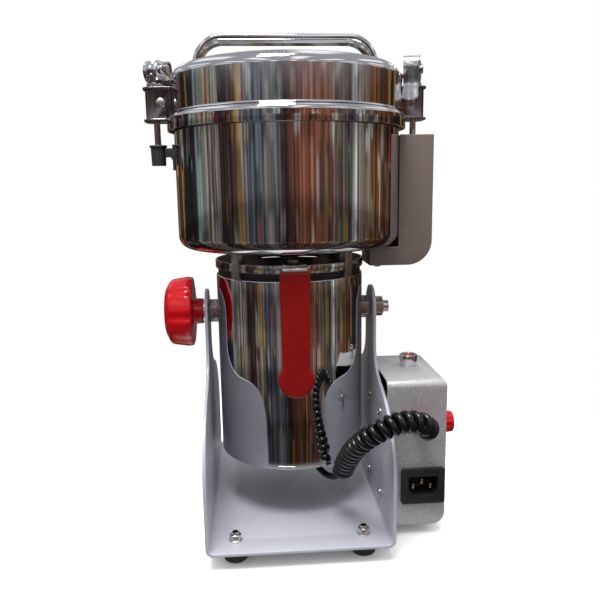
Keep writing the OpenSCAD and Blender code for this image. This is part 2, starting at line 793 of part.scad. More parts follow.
module interlock_cover() {
  color([0.66, 0.66, 0.68]) difference() {
    cover_form(0);
    cover_form(1.5);
    translate([0, 0, bowl_z - 1.5]) cylinder(r = bowl_r + 0.5, h = 200);
    translate([latch_x, 0, cover_top - 3]) cylinder(r = rod_r + 0.5, h = 6);
    for (s = [-1, 1]) translate([bowl_r - 17, s * 10, cover_z - 1]) cylinder(r = 1.6, h = 4);
  }
}

module interlock_switch() {
  color([0.15, 0.15, 0.16]) difference() {
    translate([latch_x - 7, -10, cover_top - 44]) cube([14, 20, 32]);
    translate([latch_x, 0, cover_top - 26]) cylinder(r = rod_r + 1, h = 30);
  }
}

module cover_screws() {
  color([0.8, 0.79, 0.77]) for (s = [-1, 1])
    translate([bowl_r - 17, s * 10, cover_z]) rotate([180, 0, 0]) pan_screw(3.2, 2, 1.6, 8);
}

// ---------------------------------------------------------------- rotor

blade_r = bowl_in - 8;
blade_z = [floor_top + 8, floor_top + 20, floor_top + 34];
blade_t = 2.5;
core_r = shaft_r - 1;
module drive_shaft() {
  color([0.75, 0.75, 0.77]) {
    translate([0, 0, low_bearing_z + 0.2]) cylinder(r = shaft_r, h = blade_z[0] - low_bearing_z - 0.2);
    translate([0, 0, blade_z[0] - 1]) cylinder(r = core_r, h = blade_z[2] - blade_z[0] + 14);
  }
}

module armature() {
  slots = 12;
  color([0.4, 0.32, 0.26]) difference() {
    union() {
      translate([0, 0, stator_z + 2]) cylinder(r = rotor_r, h = stator_h - 4);
      translate([0, 0, stator_z - 8]) cylinder(r = rotor_r - 5, h = stator_h + 16);
    }
    translate([0, 0, stator_z - 9]) cylinder(r = shaft_r, h = stator_h + 20);
    for (a = [0:360 / slots:359]) rotate([0, 0, a])
      translate([rotor_r - 4, -1.2, stator_z]) cube([6, 2.4, stator_h]);
  }
}

module commutator() {
  color([0.72, 0.4, 0.18]) difference() {
    translate([0, 0, comm_z]) cylinder(r = 16.5, h = 16);
    translate([0, 0, comm_z - 1]) cylinder(r = shaft_r, h = 20);
    for (a = [0:15:345]) rotate([0, 0, a]) translate([15.6, -0.4, comm_z - 1]) cube([2, 0.8, 14]);
  }
}

module cooling_fan() {
  fan_z = stator_z + stator_h + 12;
  color([0.1, 0.1, 0.1]) difference() {
    union() {
      translate([0, 0, fan_z]) cylinder(r = 40, h = 2);
      translate([0, 0, fan_z]) cylinder(r = 11, h = 12);
      for (a = [0:36:324]) rotate([0, 0, a]) translate([10, -1, fan_z]) cube([29, 2, 11]);
    }
    translate([0, 0, fan_z - 1]) cylinder(r = shaft_r, h = 20);
  }
}

// One cutter: a flat bar with two ground ends, turned about the shaft
module blade(z, turn, reach) {
  rotate([0, 0, turn]) difference() {
    translate([0, 0, z]) linear_extrude(blade_t) difference() {
      intersection() {
        polygon([
          [-reach, -4], [-reach + 6, -10], [-14, -13], [14, -13], [reach, -8], [reach, 4],
          [reach - 6, 10], [14, 13], [-14, 13], [-reach, 8],
        ]);
        circle(r = reach);
      }
      circle(r = core_r);
    }
    for (s = [0, 180]) rotate([0, 0, s]) translate([18, 7.2, z + 1.5]) rotate([14, 0, -2])
      cube([reach, 12, 6]);
  }
}

module lower_blade() { color([0.8, 0.8, 0.82]) blade(blade_z[0], 20, blade_r); }
module middle_blade() { color([0.8, 0.8, 0.82]) blade(blade_z[1], 80, blade_r - 5); }
module upper_blade() { color([0.8, 0.8, 0.82]) blade(blade_z[2], 140, blade_r - 10); }

module blade_spacers() {
  color([0.7, 0.7, 0.72]) for (i = [0, 1])
    ring(core_r, 11, blade_z[i] + blade_t, blade_z[i + 1]);
}

module blade_nut() {
  color([0.78, 0.77, 0.74]) translate([0, 0, blade_z[2] + blade_t]) difference() {
    union() {
      cylinder(r = 10, h = 1.5);
      translate([0, 0, 1.5]) hex(16, 7);
    }
    translate([0, 0, -1]) cylinder(r = core_r, h = 12);
  }
}

// ---------------------------------------------------------------- lid

lid_r = bowl_r + 0.5;
module lid_profile(inset) {
  r = lid_r - inset;
  top = shoulder_z - inset;
  c = shoulder_r - inset;
  step_r = lid_r - 15;
  translate([0, seam_z - 1]) square([r, top - c - seam_z + 1]);
  translate([0, seam_z - 1]) square([r - c, top - seam_z + 1]);
  translate([r - c, top - c]) circle(r = c);
  polygon([[0, top - 1], [step_r, top - 1], [step_r - 2, top + 2.6], [0, top + dome_h]]);
}

// Section of the lid's top: a wall with a flange on the bowl's lip
module lid_flange_section() {
  lid_profile(0);
  translate([bowl_r - 2, seam_z]) square([rim_r - 3 - bowl_r + 2, rim_h]);
  translate([rim_r - rim_h / 2, seam_z + rim_h / 2]) circle(r = rim_h / 2, $fn = 32);
}

module lid_shell() {
  color([0.8, 0.8, 0.82]) rotate_extrude($fn = 96) {
    difference() {
      intersection() {
        lid_flange_section();
        translate([0, seam_z]) square([200, 200]);
      }
      lid_profile(wall);
      translate([bowl_in - 1, seam_z - 1]) square([gasket_w, 1 + gasket_t]);
    }
    translate([rim_r - skirt_t, rim_z]) square([skirt_t, rim_h * 1.5]);
  }
}

gasket_w = 4;
gasket_t = 1.6;
module lid_gasket() {
  color([0.85, 0.83, 0.78])
    ring(bowl_in - 1, bowl_in - 1 + gasket_w, seam_z - seam_gap / 2, seam_z + gasket_t);
}

module lid_handle() {
  w = 2 * (lid_r - 0.5 - lid_handle_in);
  d = 24;
  t = 7;
  r = 22;
  foot_z = shoulder_z - 6;
  top = shoulder_z + lid_handle_h;
  color([0.8, 0.8, 0.82]) difference() {
    intersection() {
      translate([0, d / 2, 0]) rotate([90, 0, 0]) linear_extrude(d) difference() {
        translate([0, top - 40]) round_rect(w, 80, r);
        translate([0, top - 40 - t / 2]) round_rect(w - 2 * t, 80 - t, r - t);
      }
      translate([-100, 0, 0]) rotate([90, 0, 90]) linear_extrude(200) {
        translate([-d / 2 + 3, 0]) square([d - 6, top]);
        translate([-d / 2, 0]) square([d, top - 3]);
        for (s = [-1, 1]) translate([s * (d / 2 - 3), top - 3]) circle(r = 3);
      }
    }
    translate([0, 0, foot_z - 100]) cube([300, 300, 200], center = true);
    rotate_extrude($fn = 96) lid_profile(0);
  }
}

// Bent sheet around each rod, welded to the lid above its rim
module latch_blocks() {
  half = 11;
  out_x = 7.5;
  t = 2;
  lip = 1.5;
  inner_x = rim_r - 5 - latch_x;
  color([0.5, 0.5, 0.52]) for (side = [-1, 1]) difference() {
    at_latch(side) difference() {
      union() {
        translate([0, 0, block_z]) linear_extrude(block_top - block_z) difference() {
          block_plan(inner_x, half, out_x);
          block_plan(inner_x - 5, half - t, out_x - t);
        }
        for (z = [block_z, block_top - 2]) translate([0, 0, z])
          linear_extrude(2) block_plan(inner_x, half + lip, out_x + lip);
        translate([0, 0, block_top]) cylinder(r = 6.5, h = seat_top - block_top);
        translate([-latch_x + lid_r - 3, -half, lid_rim_top + 1])
          cube([latch_x - lid_r + 3 + inner_x + 2, 2 * half, block_top - lid_rim_top - 1]);
      }
      translate([0, 0, block_z - 1]) cylinder(r = rod_r + 0.35, h = 60);
      for (s = [-1, 1]) y_rod(s * (half - t - 1), s * (half + 3), 2.2, x = -5, z = block_z + 14);
    }
    cylinder(r = lid_r, h = 500);
    cylinder(r = rim_r + 0.3, h = lid_rim_top + 0.3);
  }
}

// Plan of a block: square at the lid, round outside
module block_plan(x0, half, out) {
  r = 7;
  translate([x0, -half]) square([out - r - x0, 2 * half]);
  translate([x0, -half + r]) square([out - x0, 2 * (half - r)]);
  for (s = [-1, 1]) translate([out - r, s * (half - r)]) circle(r = r);
}

module latch_screws() {
  color([0.8, 0.79, 0.77]) for (side = [-1, 1]) at_latch(side)
    for (s = [-1, 1]) translate([-5, s * 11, block_z + 14]) rotate([-s * 90, 0, 0])
      pan_screw(3.6, 2.2, 2.1, 4);
}

// ---------------------------------------------------------------- latches

eye_half = 2.8;
module rod(side, low) {
  color([0.78, 0.78, 0.8]) at_latch(side) rotate([0, 0, latch_turn]) difference() {
    union() {
      translate([0, 0, low]) cylinder(r = rod_r, h = pin_z - low);
      translate([0, 0, low]) cylinder(r1 = rod_r - 0.6, r2 = rod_r, h = 1);
      x_rod(-eye_half, eye_half, 4.6, z = pin_z);
    }
    x_rod(-eye_half - 1, eye_half + 1, 2.2, z = pin_z);
  }
}

module left_rod() { rod(-1, rod_low); }
module right_rod() { rod(1, cover_top - 22); }

module pin(side) {
  color([0.7, 0.7, 0.72]) at_latch(side) rotate([0, 0, latch_turn]) {
    x_rod(-7.4, 7.4, 2.2, z = pin_z);
    for (s = [-1, 1]) x_rod(s * 6.1, s * 7.6, 3.6, z = pin_z);
  }
}

module left_pin() { pin(-1); }
module right_pin() { pin(1); }

// Cam lever: two eccentric ears on the pin, joined by a plate that hangs down the block's side
module lever(side) {
  ear_in = eye_half + 0.3;
  ear_out = ear_in + 2.6;
  plate_y = -18.4;
  plate_t = 2.6;
  plate_low = block_z + 14;
  color([0.85, 0.85, 0.87]) at_latch(side) rotate([0, 0, latch_turn]) difference() {
    union() {
      for (s = [-1, 1]) {
        x_rod(s * ear_in, s * ear_out, cam_r, z = pin_z - cam_offset);
        translate([s > 0 ? ear_in : -ear_out, 0, 0]) rotate([90, 0, 90])
          linear_extrude(ear_out - ear_in) polygon([
            [0, pin_z + 5.5], [plate_y + 1, pin_z + 2], [plate_y + 1, pin_z - 9],
            [plate_y + 3, pin_z - 9], [-3, pin_z - 7],
          ]);
      }
      translate([-6.5, 0, 0]) rotate([90, 0, 90]) linear_extrude(13) polygon([
        [plate_y + plate_t, pin_z + 3], [plate_y + 0.6, pin_z + 3.4], [plate_y, pin_z - 2],
        [plate_y - 0.4, pin_z - 14], [plate_y + 0.4, plate_low], [plate_y + plate_t, plate_low],
        [plate_y + plate_t - 0.4, pin_z - 14],
      ]);
    }
    x_rod(-20, 20, 2.2 + run_gap, z = pin_z);
    x_rod(-ear_in, ear_in, 8.5, z = pin_z);
  }
}

module left_lever() { lever(-1); }
module right_lever() { lever(1); }

stand_frame();
rubber_feet();
foot_bolts();
control_box();
box_screws();
power_inlet();
inlet_pins();
cord_gland();
coiled_cord();
reset_bezel();
breaker_body();
timer_body();
clamp_knob();
knob_stud();
reset_button();
timer_knob();
motor_housing();
motor_end_cover();
motor_grommet();
motor_top_plate();
neck_band();
support_posts();
handle_strap();
handle_grip();
handle_screw();
motor_stator();
stator_windings();
bearing_brackets();
ball_bearings();
brush_holders();
trunnion_bosses();
pivot_bolt();
pivot_nut();
grinding_bowl();
latch_cup();
shaft_seal();
interlock_cover();
interlock_switch();
cover_screws();
drive_shaft();
armature();
commutator();
cooling_fan();
lower_blade();
middle_blade();
upper_blade();
blade_spacers();
blade_nut();
lid_shell();
lid_gasket();
lid_handle();
latch_blocks();
latch_screws();
left_rod();
right_rod();
left_pin();
right_pin();
left_lever();
right_lever();
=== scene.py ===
"""Tilting grain mill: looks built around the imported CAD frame. Lengths are metres in the row frame."""

import json
import math

import bmesh
import bpy
from mathutils import Matrix, Vector


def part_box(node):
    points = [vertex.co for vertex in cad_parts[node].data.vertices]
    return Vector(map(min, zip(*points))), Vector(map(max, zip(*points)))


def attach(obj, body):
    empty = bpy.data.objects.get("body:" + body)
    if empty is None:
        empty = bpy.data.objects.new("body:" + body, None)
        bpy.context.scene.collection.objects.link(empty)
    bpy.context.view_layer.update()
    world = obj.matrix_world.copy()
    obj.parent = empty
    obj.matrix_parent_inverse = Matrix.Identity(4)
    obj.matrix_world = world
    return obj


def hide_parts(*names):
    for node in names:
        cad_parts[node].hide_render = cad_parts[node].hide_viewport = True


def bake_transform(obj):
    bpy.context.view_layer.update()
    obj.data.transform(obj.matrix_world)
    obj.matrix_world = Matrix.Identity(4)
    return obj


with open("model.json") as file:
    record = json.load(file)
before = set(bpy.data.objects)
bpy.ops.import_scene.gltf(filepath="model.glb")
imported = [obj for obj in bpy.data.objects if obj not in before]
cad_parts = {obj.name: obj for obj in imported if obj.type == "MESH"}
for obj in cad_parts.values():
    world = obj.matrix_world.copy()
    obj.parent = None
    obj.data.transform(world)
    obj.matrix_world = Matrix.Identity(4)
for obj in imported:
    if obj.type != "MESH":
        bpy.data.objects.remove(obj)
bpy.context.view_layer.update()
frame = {"nodes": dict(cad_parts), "record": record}
MM = 0.001
scene = bpy.context.scene
scene.view_settings.view_transform = "Standard"

# ---------------------------------------------------------------- measures taken from the frame


def low(node):
    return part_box(node)[0]


def high(node):
    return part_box(node)[1]


def middle(node):
    lo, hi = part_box(node)
    return (lo + hi) / 2


PIVOT_Z = middle("pivot_nut").z
HOUSING_R = high("motor_housing").y
HOUSING_Z = (low("motor_housing").z, high("motor_housing").z)
BOWL_FLOOR_Z = low("grinding_bowl").z
SKIRT_R = high("lid_shell").y
SKIRT_Z = low("lid_shell").z
LIP_R = high("grinding_bowl").y
WALL = 1.2 * MM              # sheet of the bowl, lid and housing
RIM_OUT = 5 * MM             # how far the lid's skirt stands out from the bowl's wall
BOWL_R = SKIRT_R - RIM_OUT
SEAM_Z = high("grinding_bowl").z
LID_TOP = high("lid_shell").z
LATCH_X = middle("right_rod").x
PIN_Z = middle("right_pin").z
LATCH_TURN = math.radians(-20)   # how far each lever is turned about its rod


# ---------------------------------------------------------------- node helpers


class Tree:
    """A node tree with short calls to add and join nodes."""

    def __init__(self, tree):
        self.tree = tree

    def join(self, node, socket, value):
        """Sets an input, or links it where the value is another node's output."""
        if isinstance(value, bpy.types.NodeSocket):
            self.tree.links.new(value, node.inputs[socket])
        else:
            node.inputs[socket].default_value = value

    def add(self, kind, inputs=(), **settings):
        node = self.tree.nodes.new(kind)
        for key, value in settings.items():
            setattr(node, key, value)
        for key, value in dict(inputs).items():
            self.join(node, key, value)
        return node

    def calc(self, operation, *values):
        return self.add("ShaderNodeMath", dict(enumerate(values)), operation=operation).outputs[0]

    def mix(self, factor, first, second):
        """A colour between the first and the second."""
        node = self.add("ShaderNodeMix", {0: factor, 6: first, 7: second}, data_type="RGBA")
        return node.outputs[2]

    def spread(self, value, low_out, high_out, low_in=0.3, high_in=0.7, curve="LINEAR"):
        """The value stretched from one range to another."""
        node = self.add("ShaderNodeMapRange", {
            "Value": value, "From Min": low_in, "From Max": high_in,
            "To Min": low_out, "To Max": high_out,
        }, interpolation_type=curve)
        return node.outputs[0]

    def ramp(self, value, stops, kind):
        """Colours or greys by value, from (place, colour) stops."""
        node = self.add("ShaderNodeValToRGB", {"Fac": value})
        node.color_ramp.interpolation = kind
        points = node.color_ramp.elements
        while len(points) > 1:
            points.remove(points[-1])
        for i, (at, colour) in enumerate(stops):
            point = points[0] if i == 0 else points.new(at)
            point.position = at
            point.color = rgba(*colour) if isinstance(colour, tuple) else rgba(colour, colour, colour)
        return node.outputs[0]


class Nodes(Tree):
    """A material's nodes round one Principled shader."""

    def __init__(self, name):
        self.material = bpy.data.materials.new(name)
        self.material.use_nodes = True
        super().__init__(self.material.node_tree)
        self.shader = self.tree.nodes["Principled BSDF"]
        self.place = self.add("ShaderNodeTexCoord").outputs["Object"]

    def noise(self, scale, detail=3.0, rough=0.5, stretch=(1, 1, 1), distort=0.0):
        mapped = self.add("ShaderNodeMapping", {"Vector": self.place, "Scale": stretch})
        node = self.add("ShaderNodeTexNoise", {
            "Vector": mapped.outputs[0], "Scale": scale, "Detail": detail,
            "Roughness": rough, "Distortion": distort,
        })
        return node.outputs["Fac"]

    def bump(self, height, strength, depth):
        node = self.add("ShaderNodeBump", {
            "Height": height, "Strength": strength, "Distance": depth,
        })
        self.set("Normal", node.outputs[0])

    def set(self, socket, value):
        self.join(self.shader, socket, value)


def rgba(r, g, b):
    return (r, g, b, 1.0)


# ---------------------------------------------------------------- materials


def polished_steel(name, colour, smooth, dull):
    """Mirror-polished sheet: fine rings from the polishing wheel and faint fingermarks."""
    n = Nodes(name)
    rings = n.noise(9.0, 4.0, 0.6, stretch=(1, 1, 260))
    smudge = n.noise(28.0, 5.0, 0.62, distort=0.6)
    tint = n.mix(n.spread(smudge, 0.0, 1.0), rgba(*colour), rgba(*[c * 0.9 for c in colour]))
    n.set("Base Color", tint)
    n.set("Metallic", 1.0)
    n.set("Roughness", n.spread(smudge, smooth, dull))
    n.bump(rings, 0.05, 0.1 * MM)
    return n.material


def plated(name, colour, smooth, dull, grain=900.0):
    """Zinc, nickel or chrome plate on small hardware: tiny pits and cloudy patches."""
    n = Nodes(name)
    cloud = n.noise(220.0, 4.0, 0.6)
    pits = n.noise(grain, 2.0, 0.5)
    n.set("Base Color", n.mix(n.spread(cloud, 0, 1), rgba(*colour), rgba(*[c * 0.78 for c in colour])))
    n.set("Metallic", 1.0)
    n.set("Roughness", n.spread(cloud, smooth, dull))
    n.bump(pits, 0.12, 0.06 * MM)
    return n.material


def powder_coat(name, colour, peel, rough):
    """Baked powder paint: orange peel, slight cloudiness, softer shine."""
    n = Nodes(name)
    skin = n.noise(peel, 3.0, 0.55)
    cloud = n.noise(14.0, 3.0, 0.5)
    n.set("Base Color", n.mix(n.spread(cloud, 0, 1), rgba(*colour), rgba(*[c * 0.93 for c in colour])))
    n.set("Roughness", n.spread(skin, rough - 0.05, rough + 0.08))
    n.set("Coat Weight", 0.15)
    n.set("Coat Roughness", 0.25)
    n.bump(skin, 0.22, 0.09 * MM)
    return n.material


def sparkle_paint(name, colour):
    """Hammered silver paint with fine metal flakes."""
    n = Nodes(name)
    cells = n.add("ShaderNodeTexVoronoi", {"Vector": n.place, "Scale": 2600.0}, feature="F1")
    flakes = n.add("ShaderNodeSeparateColor", {"Color": cells.outputs["Color"]}).outputs[0]
    grain = n.noise(1500.0, 2.0, 0.6)
    dark = rgba(*[c * 0.72 for c in colour])
    light = rgba(*[min(1.0, c * 1.45) for c in colour])
    n.set("Base Color", n.mix(n.spread(flakes, 0, 1, 0.1, 0.95), dark, light))
    n.set("Metallic", 0.45)
    n.set("Roughness", n.spread(grain, 0.34, 0.52))
    n.set("Coat Weight", 0.35)
    n.set("Coat Roughness", 0.18)
    n.bump(n.add("ShaderNodeMath", {0: flakes, 1: grain}, operation="ADD").outputs[0], 0.16, 0.05 * MM)
    return n.material


def plastic(name, colour, rough, coat=0.0, grain=700.0, deep=0.05, vary=0.12):
    """Moulded plastic, rubber or PVC: fine texture and faint rubbed patches."""
    n = Nodes(name)
    fine = n.noise(grain, 3.0, 0.5)
    wear = n.noise(45.0, 4.0, 0.6)
    n.set("Base Color", n.mix(
        n.spread(wear, 0, 1), rgba(*colour), rgba(*[min(1.0, c * (1 + vary)) for c in colour])))
    n.set("Roughness", n.spread(wear, rough, min(1.0, rough + 0.12)))
    n.set("Specular IOR Level", 0.3)
    n.set("Coat Weight", coat)
    n.set("Coat Roughness", 0.06)
    n.bump(fine, 0.15, deep * MM)
    return n.material


def copper_wire(name):
    """Windings: rows of varnished wire, painted darker in the grooves between rows as painted shade and
    lighter on their crests as painted highlight.
    """
    n = Nodes(name)
    rows = n.add("ShaderNodeTexWave", {"Vector": n.place, "Scale": 260.0, "Distortion": 0.6})
    # Painted shade in the grooves between the rows and painted highlight on their crests.
    n.set("Base Color", n.mix(rows.outputs["Fac"], rgba(0.25, 0.1, 0.03), rgba(0.75, 0.36, 0.14)))
    n.set("Metallic", 0.9)
    n.set("Roughness", n.spread(rows.outputs["Fac"], 0.25, 0.45))
    n.bump(rows.outputs["Fac"], 0.5, 0.3 * MM)
    return n.material


MATERIALS = {
    "polished_steel": polished_steel("polished_steel", (0.72, 0.72, 0.735), 0.03, 0.075),
    "chromed": plated("chromed", (0.8, 0.8, 0.82), 0.1, 0.2),
    "block_steel": plated("block_steel", (0.3, 0.275, 0.29), 0.16, 0.3),
    "cast_grey": plated("cast_grey", (0.19, 0.185, 0.19), 0.4, 0.58, grain=500.0),
    "zinc": plated("zinc", (0.74, 0.73, 0.69), 0.2, 0.38),
    "steel": plated("steel", (0.6, 0.6, 0.61), 0.22, 0.4),
    "iron": plated("iron", (0.22, 0.21, 0.21), 0.4, 0.6),
    "brass": plated("brass", (0.8, 0.68, 0.42), 0.2, 0.35),
    "copper": copper_wire("copper"),
    "stand_paint": powder_coat("stand_paint", (0.40, 0.405, 0.455), 900.0, 0.36),
    "box_paint": sparkle_paint("box_paint", (0.40, 0.395, 0.405)),
    "cover_paint": powder_coat("cover_paint", (0.15, 0.115, 0.10), 1300.0, 0.4),
    "red_plastic": plastic("red_plastic", (0.42, 0.0, 0.003), 0.14, coat=0.35, deep=0.02),
    "red_pvc": plastic("red_pvc", (0.21, 0.0, 0.0), 0.3, coat=0.05, grain=350.0, deep=0.02),
    "gland_red": plastic("gland_red", (0.52, 0.012, 0.008), 0.32, coat=0.15),
    "black_plastic": plastic("black_plastic", (0.012, 0.012, 0.013), 0.38, vary=0.6),
    "white_plastic": plastic("white_plastic", (0.75, 0.73, 0.66), 0.4),
    "black_paint": powder_coat("black_paint", (0.008, 0.008, 0.009), 900.0, 0.6),
    "rubber": plastic("rubber", (0.018, 0.018, 0.018), 0.6, grain=500.0, deep=0.12, vary=0.6),
    "cord": plastic("cord", (0.004, 0.004, 0.0045), 0.2, coat=0.4, grain=500.0, vary=0.8),
    "silicone": plastic("silicone", (0.74, 0.72, 0.66), 0.4),
}
NODE_SLOT = {s["node"]: s["material_slot"] for s in frame["record"]["subparts"]}
BODY_OF = {n: b for b, nodes in frame["record"]["behaviour"]["bodies"].items() for n in nodes}


def paint(obj, slot):
    obj.data.materials.clear()
    obj.data.materials.append(MATERIALS[slot])


# ---------------------------------------------------------------- mesh helpers


def smooth(mesh, angle=32):
    """Smooth shading, but for edges sharper than the angle in degrees."""
    mesh.polygons.foreach_set("use_smooth", [True] * len(mesh.polygons))
    mesh.set_sharp_from_angle(angle=math.radians(angle))


def from_bmesh(name, bm, angle=32):
    bmesh.ops.recalc_face_normals(bm, faces=bm.faces)
    mesh = bpy.data.meshes.new(name)
    bm.to_mesh(mesh)
    bm.free()
    smooth(mesh, angle)
    obj = bpy.data.objects.new(name, mesh)
    scene.collection.objects.link(obj)
    return obj


def place(obj, body, slot, *stands_for):
    """Give a new piece its material, its body and the CAD nodes that it stands for."""
    paint(obj, slot)
    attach(obj, body)
    if stands_for:
        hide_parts(*stands_for)
    return obj


def bevelled(bm, width, steps, angle=34):
    """Rounds the edges sharper than the angle in degrees."""
    edges = [
        e for e in bm.edges
        if len(e.link_faces) == 2 and e.calc_face_angle(0) > math.radians(angle)
    ]
    bmesh.ops.bevel(
        bm, geom=edges, offset=width, segments=steps, profile=0.5, affect="EDGES",
        clamp_overlap=False, miter_outer="ARC",
    )


def refined(node, width, steps):
    """A copy of a CAD node with its edges rounded, in the node's place."""
    bm = bmesh.new()
    bm.from_mesh(frame["nodes"][node].data)
    bmesh.ops.remove_doubles(bm, verts=bm.verts, dist=0.002 * MM)
    bmesh.ops.dissolve_limit(bm, angle_limit=math.radians(0.6), verts=bm.verts, edges=bm.edges)
    bevelled(bm, width * MM, steps)
    obj = from_bmesh(node + "_fine", bm)
    return place(obj, BODY_OF[node], NODE_SLOT[node], node)


def fillet(points, radii, steps=8):
    """The closed outline with each corner rounded to its radius."""
    out = []
    count = len(points)
    for i, p in enumerate(points):
        r = radii[i]
        p = Vector(p)
        if r == 0:
            out.append(p)
            continue
        a = (Vector(points[i - 1]) - p).normalized()
        b = (Vector(points[(i + 1) % count]) - p).normalized()
        half = a.angle(b) / 2
        cut = r / math.tan(half)
        start = p + a * cut
        end = p + b * cut
        centre = p + (a + b).normalized() * (r / math.sin(half))
        turn = math.pi - 2 * half
        u = start - centre
        v = end - centre
        for k in range(steps + 1):
            t = k / steps
            out.append(centre + (u * math.sin((1 - t) * turn) + v * math.sin(t * turn)) / math.sin(turn))
    return out


def lathe(name, outline, segments=192, matrix=None, shape=None, angle=32):
    """Turns a closed (radius, height) outline about Z. shape(angle, radius, height) may bend it."""
    bm = bmesh.new()
    rings = []
    for i in range(segments):
        a = 2 * math.pi * i / segments
        ring = []
        for r, z in outline:
            if shape:
                r, z = shape(a, r, z)
            ring.append(bm.verts.new((r * math.cos(a), r * math.sin(a), z)))
        rings.append(ring)
    for i in range(segments):
        here, after = rings[i], rings[(i + 1) % segments]
        for k in range(len(outline)):
            j = (k + 1) % len(outline)
            if outline[k][0] < 1e-7 and outline[j][0] < 1e-7:
                continue
            bm.faces.new((here[k], after[k], after[j], here[j]))
    bmesh.ops.remove_doubles(bm, verts=bm.verts, dist=1e-7)
    if matrix:
        bm.transform(matrix)
    return from_bmesh(name, bm, angle)


def skin(bm, rings):
    """Closes a row of rings into a solid, with a face on each end."""
    for first, second in zip(rings, rings[1:]):
        for k in range(len(first)):
            j = (k + 1) % len(first)
            bm.faces.new((first[k], first[j], second[j], second[k]))
    bm.faces.new(list(reversed(rings[0])))
    bm.faces.new(rings[-1])


def tangent(points, i):
    """Direction of a line at its point i."""
    return (points[min(i + 1, len(points) - 1)] - points[max(i - 1, 0)]).normalized()


def frames_along(path):
    """Two normals at each point, carried along without twist."""
    u = tangent(path, 0).orthogonal().normalized()
    result = []
    for i in range(len(path)):
        t = tangent(path, i)
        u = (u - t * u.dot(t)).normalized()
        result.append((u, t.cross(u)))
    return result


def tube(name, path, radius, sides, angle):
    """Closed round tube along a path."""
    bm = bmesh.new()
    rings = []
    for p, (u, v) in zip(path, frames_along(path)):
        turns = [2 * math.pi * k / sides for k in range(sides)]
        rings.append([bm.verts.new(p + (u * math.cos(a) + v * math.sin(a)) * radius) for a in turns])
    skin(bm, rings)
    return from_bmesh(name, bm, angle)


def catmull(points, steps):
    """Smooth line through the points, with so many steps between each two."""
    points = [Vector(p) for p in points]
    out = []
    last = len(points) - 1
    for i in range(last):
        a, b = points[max(i - 1, 0)], points[i]
        c, d = points[i + 1], points[min(i + 2, last)]
        for s in range(steps):
            t = s / steps
            out.append(0.5 * (
                2 * b + (c - a) * t + (2 * a - 5 * b + 4 * c - d) * t * t
                + (3 * b - a - 3 * c + d) * t * t * t))
    return out + [points[-1]]


def thread(name, start, end, radius, pitch, body, slot):
    """Threaded rod between two points, with a real helical thread."""
    axis = end - start
    turns = axis.length / pitch
    sides, depth = 32, pitch * 0.42
    rings = max(8, int(turns * 8))
    turn = axis.to_track_quat("Z", "Y").to_matrix().to_4x4()
    bm = bmesh.new()
    grid = []
    for i in range(rings + 1):
        z = axis.length * i / rings
        ring = []
        for k in range(sides):
            a = 2 * math.pi * k / sides
            phase = (z / pitch - k / sides) % 1.0
            r = radius - depth * abs(2 * phase - 1)
            if i == rings:
                r = radius - depth
            ring.append(bm.verts.new((r * math.cos(a), r * math.sin(a), z)))
        grid.append(ring)
    skin(bm, grid)
    bm.transform(Matrix.Translation(start) @ turn)
    return place(from_bmesh(name, bm, 60), body, slot)


# ---------------------------------------------------------------- camera, lights and floor


def make_camera():
    """Slightly above the mill, looking a little down at its front from the left."""
    camera = bpy.data.objects.new("camera", bpy.data.cameras.new("camera"))
    camera.data.lens = 38.63
    camera.data.sensor_width = 36.0
    camera.data.clip_start = 0.01
    look = Vector((0.0698, 0.9813, -0.1793)).normalized()
    turn = look.to_track_quat("-Z", "Y").to_matrix().to_4x4()
    roll = Matrix.Rotation(math.radians(-0.87), 4, "Z")
    camera.matrix_world = Matrix.Translation((-0.0294, -0.535, 0.2806)) @ turn @ roll
    scene.collection.objects.link(camera)
    scene.camera = camera


def soft_light(name, place_at, aim, size, power, mirrored=True):
    data = bpy.data.lights.new(name, "AREA")
    data.shape = "RECTANGLE"
    data.size, data.size_y = size
    data.energy = power
    light = bpy.data.objects.new(name, data)
    light.location = place_at
    light.rotation_euler = (Vector(aim) - Vector(place_at)).to_track_quat("-Z", "Y").to_euler()
    light.visible_glossy = mirrored
    scene.collection.objects.link(light)


# Surroundings that only mirrors see: how far round (0.5 is towards the camera) and the colour
BANDS = [
    (0.00, (0.30, 0.30, 0.30)), (0.03, (0.05, 0.045, 0.045)), (0.075, (0.30, 0.19, 0.06)),
    (0.09, (0.035, 0.02, 0.018)), (0.115, (0.10, 0.05, 0.035)), (0.13, (0.012, 0.012, 0.014)),
    (0.20, (0.016, 0.017, 0.02)), (0.215, (0.30, 0.33, 0.36)), (0.235, (0.10, 0.13, 0.10)),
    (0.25, (0.30, 0.26, 0.22)), (0.29, (0.22, 0.19, 0.16)), (0.30, (0.03, 0.022, 0.022)),
    (0.35, (0.06, 0.035, 0.035)), (0.358, (0.36, 0.22, 0.04)), (0.37, (0.30, 0.26, 0.23)),
    (0.385, (0.07, 0.08, 0.095)), (0.425, (0.11, 0.12, 0.14)), (0.445, (0.26, 0.24, 0.22)),
    (0.465, (0.12, 0.13, 0.15)), (0.48, (0.04, 0.028, 0.026)), (0.51, (0.13, 0.05, 0.03)),
    (0.55, (0.26, 0.10, 0.06)), (0.60, (0.20, 0.085, 0.05)), (0.635, (0.14, 0.11, 0.09)),
    (0.672, (0.05, 0.04, 0.04)), (0.685, (0.55, 0.54, 0.52)), (0.70, (0.20, 0.18, 0.155)),
    (0.75, (0.14, 0.06, 0.02)), (0.80, (0.09, 0.035, 0.012)), (0.83, (0.012, 0.012, 0.015)),
    (0.90, (0.03, 0.026, 0.022)), (0.95, (0.16, 0.15, 0.14)),
]
